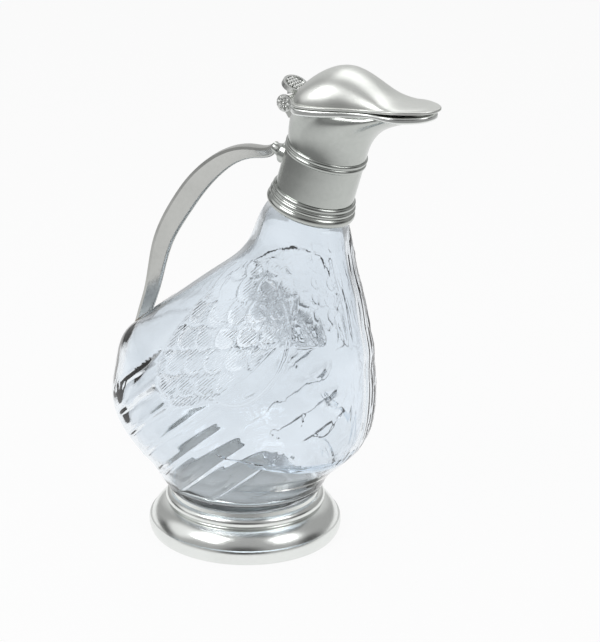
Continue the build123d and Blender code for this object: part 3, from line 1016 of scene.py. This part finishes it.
    def _close_neck(self, outer: bpy.types.Object, inner: bpy.types.Object) -> bpy.types.Object:
        """Joins the outer and the inner wall along the bore.

        Args:
            outer: Outer wall with its spigot.
            inner: Wall of the hollow.

        Returns:
            The closed glass.
        """
        for piece in (inner, outer):
            self._select_end(piece, top=True)
            bpy.ops.object.mode_set(mode="OBJECT")
        activate(outer)
        inner.select_set(True)
        bpy.ops.object.join()
        glass = bpy.context.object
        glass.name = "glass_bird"
        bpy.ops.object.mode_set(mode="EDIT")
        bpy.ops.mesh.bridge_edge_loops()
        bpy.ops.mesh.select_all(action="SELECT")
        bpy.ops.mesh.normals_make_consistent(inside=False)
        bpy.ops.object.mode_set(mode="OBJECT")
        bpy.ops.object.shade_smooth_by_angle(angle=math.radians(self.sharp_angle))
        return glass


@dataclass
class Feathers:
    """Relief of the pressed glass: wing feathers, flight feathers, breast plumes and front seam.

    Each pair of numbers is a soft edge: the places where it begins and ends.
    """

    wing: Oval = Oval(centre=(0.010, 0.122), radii=(0.047, 0.025), turn=50.0)
    wing_feathers: Shingle = Shingle(
        slope=46.0, row_pitch=0.0098, width=0.0125, rise=0.0014, rim=0.45
    )
    wing_edge: Pair = (0.90, 1.0)
    wing_off_back: Pair = (0.008, 0.012)
    wing_middle: float = 0.12
    wing_slant: float = 0.8
    wing_rear: Pair = (-0.006, 0.016)
    wing_front_barbs: float = 0.1
    wing_front_height: float = 0.35
    flight_slope: float = 41.0
    flight_pitch: float = 0.013
    flight_first: float = 0.0847
    flight_ridge: float = 0.0013
    flight_ridge_width: float = 0.0011
    flight_step: float = 0.0008
    flight_step_edge: Pair = (0.0, 0.12)
    flight_scoop: float = 0.0013
    flight_scoop_edge: Pair = (-0.018, -0.012)
    flight_off_wing: Pair = (1.0, 1.06)
    flight_off_back: Pair = (0.006, 0.014)
    flight_lowest: Pair = (-0.078, -0.070)
    flight_highest: Pair = (0.012, 0.015)
    flight_front: Pair = (-0.072, -0.060)
    flight_rear: Pair = (-0.012, 0.004)
    flight_foot: Pair = (0.030, 0.038)
    plumes: Shingle = Shingle(slope=90.0, row_pitch=0.020, width=0.0050, rise=0.0009)
    plume_shift: float = 0.001
    plume_foot: Pair = (0.120, 0.126)
    plume_top: Pair = (0.160, 0.168)
    plume_side: Pair = (0.026, 0.030)
    broad: Shingle = Shingle(slope=90.0, row_pitch=0.015, width=0.013, rise=0.0004)
    broad_foot: Pair = (0.055, 0.065)
    broad_top: Pair = (0.118, 0.126)
    breast_front: Pair = (0.040, 0.046)
    breast_off_seam: Pair = (0.010, 0.012)
    seam_height: float = 0.00020
    seam_width: float = 0.0011
    seam_front: Pair = (0.030, 0.040)
    seam_foot: Pair = (0.040, 0.055)
    seam_top: Pair = (0.160, 0.175)
    channel_half_width: float = 0.009

    def carve(self, glass: bpy.types.Object) -> None:
        """Moves the points of the outer wall along their normals.

        Args:
            glass: Outer wall of the bird.
        """
        mesh = glass.data
        count = len(mesh.vertices)
        places = np.empty(count * 3)
        normals = np.empty(count * 3)
        mesh.vertices.foreach_get("co", places)
        mesh.vertex_normals.foreach_get("vector", normals)
        places = places.reshape(-1, 3)
        normals = normals.reshape(-1, 3)
        x, y, z = places.T
        wing, barbs = self._wing(x, y, z)
        height = wing + self._flight(x, y, z) + self._breast(x, y, z) + self._seam(x, y, z)
        places += normals * height[:, None]
        mesh.vertices.foreach_set("co", places.ravel())
        mesh.update()
        layer = mesh.attributes.new("barbs", "FLOAT", "POINT")
        layer.data.foreach_set("value", barbs.astype(np.float32))

    def _wing(self, x: np.ndarray, y: np.ndarray, z: np.ndarray) -> Fields:
        """Height and barb mask of the wing's feathers."""
        height, inside = self.wing_feathers.lay(x, z)
        mask = 1.0 - fade(self.wing.reach(x, z), *self.wing_edge)
        mask *= fade(np.abs(y), *self.wing_off_back)
        forward = fade(x + self.wing_slant * (z - self.wing_middle), *self.wing_rear)
        rear = 1.0 - (1.0 - self.wing_front_barbs) * forward
        low = self.wing_front_height
        return height * mask * (low + (1.0 - low) * rear), inside * mask * rear

    def _flight(self, x: np.ndarray, y: np.ndarray, z: np.ndarray) -> np.ndarray:
        """Height of the long flight feathers that sweep from the wing down to the tail."""
        slope = math.radians(self.flight_slope)
        across = z * math.cos(slope) - x * math.sin(slope) - self.flight_first
        along = -x * math.cos(slope) - z * math.sin(slope)
        share = np.mod(across / self.flight_pitch, 1.0)
        off = np.minimum(share, 1.0 - share) * self.flight_pitch
        lip = self.flight_step * (1.0 - share) ** 2 * fade(share, *self.flight_step_edge)
        ridge = self.flight_ridge * np.exp(-((off / self.flight_ridge_width) ** 2))
        scoop = self.flight_scoop * 4.0 * share * (1.0 - share)
        scoop *= fade(across, *self.flight_scoop_edge)
        mask = fade(self.wing.reach(x, z), *self.flight_off_wing)
        mask *= fade(np.abs(y), *self.flight_off_back)
        mask *= band(across, self.flight_lowest, self.flight_highest)
        mask *= band(along, self.flight_front, self.flight_rear)
        mask *= fade(z, *self.flight_foot)
        return (ridge + lip - scoop) * mask

    def _breast(self, x: np.ndarray, y: np.ndarray, z: np.ndarray) -> np.ndarray:
        """Height of the long plumes below the throat and of the broad feathers under them."""
        side = np.abs(y)
        front = fade(x, *self.breast_front)
        long_height, _ = self.plumes.lay(side + self.plume_shift, z)
        upper = band(z, self.plume_foot, self.plume_top) * front
        upper *= band(side, self.breast_off_seam, self.plume_side)
        broad_height, _ = self.broad.lay(side, z)
        lower = band(z, self.broad_foot, self.broad_top) * front
        lower *= fade(side, *self.breast_off_seam)
        return long_height * upper + broad_height * lower

    def _seam(self, x: np.ndarray, y: np.ndarray, z: np.ndarray) -> np.ndarray:
        """Height of the mould seam and of the two ribs beside it down the front."""
        seam = np.exp(-((y / self.seam_width) ** 2))
        ribs = np.exp(-(((np.abs(y) - self.channel_half_width) / self.seam_width) ** 2))
        place = fade(x, *self.seam_front) * band(z, self.seam_foot, self.seam_top)
        return self.seam_height * (seam + ribs) * place


@dataclass
class SmallCastings:
    """Berries in the dish of the thumb piece and petals on the hinge's rosettes."""

    dish_centre: Vector = Vector((0.0259, 0.0, 0.2449))
    dish_lean: float = 60.0
    dish_floor: float = 0.0014
    berry_radius: float = 0.00105
    berry_rows: tuple[int, ...] = (3, 4, 5, 4, 3)
    berry_row_pitch: float = 1.75
    berry_sink: float = 0.45
    heap: float = 0.25
    heap_waves: float = 400.0
    rosette_centre: Vector = Vector((0.0259, 0.0, 0.2381))
    rosette_face: float = 0.0094
    petal_bead: float = 0.00085
    petal_ring: float = 0.0026
    petals: int = 9
    petal_shape: tuple[float, float, float] = (1.75, 0.72, 0.7)
    boss_shape: tuple[float, float, float] = (1.3, 1.3, 0.9)
    flatness: float = 0.85
    sharp_angle: float = 60.0
    merge_reach: float = 0.0000001

    def build(self, metal: bpy.types.Material) -> None:
        """Makes the berries and the petals.

        Args:
            metal: Finish of the small castings.
        """
        berries = self._berries()
        petals = self._petals()
        homes = ((berries, "thumb_piece", "lid"), (petals, "hinge_rosettes", "decanter"))
        for piece, node, body in homes:
            dress(piece, metal)
            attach(piece, body)
            log.info("%s: %d faces, rides %s", piece.name, len(piece.data.polygons), body)

    def _bead(self, radius: float) -> bpy.types.Object:
        """Small round bead at the origin, a little flattened."""
        deselect()
        bpy.ops.mesh.primitive_ico_sphere_add(subdivisions=2, radius=radius)
        bead = bpy.context.object
        bpy.ops.object.mode_set(mode="EDIT")
        bpy.ops.transform.resize(
            value=(1.0, 1.0, self.flatness), center_override=(0.0, 0.0, 0.0)
        )
        bpy.ops.object.mode_set(mode="OBJECT")
        return bead

    def _copies(
        self, first: bpy.types.Object, places: Sequence[Matrix], name: str
    ) -> bpy.types.Object:
        """Copies a small shape to several places and joins the copies.

        Args:
            first: Shape to copy, which is used up.
            places: Matrix of each copy.
            name: Name of the result.

        Returns:
            The joined copies.
        """
        copies = []
        for place in places:
            copy = bpy.data.objects.new("copy", first.data.copy())
            bpy.context.scene.collection.objects.link(copy)
            copy.matrix_world = place
            settle(copy)
            copies.append(copy)
        bpy.data.objects.remove(first)
        joined = join(copies, name, self.merge_reach)
        bpy.ops.object.shade_smooth_by_angle(angle=math.radians(self.sharp_angle))
        return joined

    def _berries(self) -> bpy.types.Object:
        """Heaped cluster of berries in the dish."""
        lean = math.radians(self.dish_lean)
        out = Vector((math.cos(lean), 0.0, math.sin(lean)))
        across = Vector((0.0, 1.0, 0.0))
        down = across.cross(out)
        turned = Matrix((across, down, out)).transposed().to_4x4()
        radius = self.berry_radius
        middle_row = (len(self.berry_rows) - 1) / 2
        places = []
        for row, count in enumerate(self.berry_rows):
            for berry in range(count):
                side = (berry - (count - 1) / 2) * radius * 2.0
                drop = (row - middle_row) * radius * self.berry_row_pitch
                heap = self.heap * math.cos(row - middle_row) * math.cos(side * self.heap_waves)
                lift = self.dish_floor + radius * (self.berry_sink + heap)
                spot = self.dish_centre + across * side + down * drop + out * lift
                places.append(Matrix.Translation(spot) @ turned)
        return self._copies(self._bead(radius), places, "thumb_berries")

    def _petals(self) -> bpy.types.Object:
        """Petals round a bead on both rosettes."""
        boss = Matrix.Diagonal((*self.boss_shape, 1.0))
        petal_size = Matrix.Diagonal((*self.petal_shape, 1.0))
        out = Matrix.Translation((self.petal_ring, 0.0, 0.0))
        places = []
        for side in (-1.0, 1.0):
            centre = self.rosette_centre + Vector((0.0, side * self.rosette_face, 0.0))
            face = Matrix.Translation(centre) @ Matrix.Rotation(math.radians(90.0), 4, "X")
            places.append(face @ boss)
            for petal in range(self.petals):
                turn = Matrix.Rotation(2.0 * math.pi * petal / self.petals, 4, "Z")
                places.append(face @ turn @ out @ petal_size)
        return self._copies(self._bead(self.petal_bead), places, "rosette_petals")


def main() -> None:
    """Builds the decanter's looks round its solids, and the studio."""
    logging.basicConfig(level=logging.INFO, format="%(name)s: %(message)s")
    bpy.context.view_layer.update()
    bpy.context.scene.view_settings.view_transform = "Standard"
    PhotoCamera().place()
    Studio().build()
    cast_metal = Pewter(
        "cast_pewter", (0.86, 0.87, 0.85), (0.46, 0.47, 0.46), roughness=0.28
    ).make()
    Mounts().dress(cast_metal)
    glass = GlassBird().build()
    log.info("%s: %d faces", glass.name, len(glass.data.polygons))
    SmallCastings().build(cast_metal)


if __name__ == "__main__":
    main()
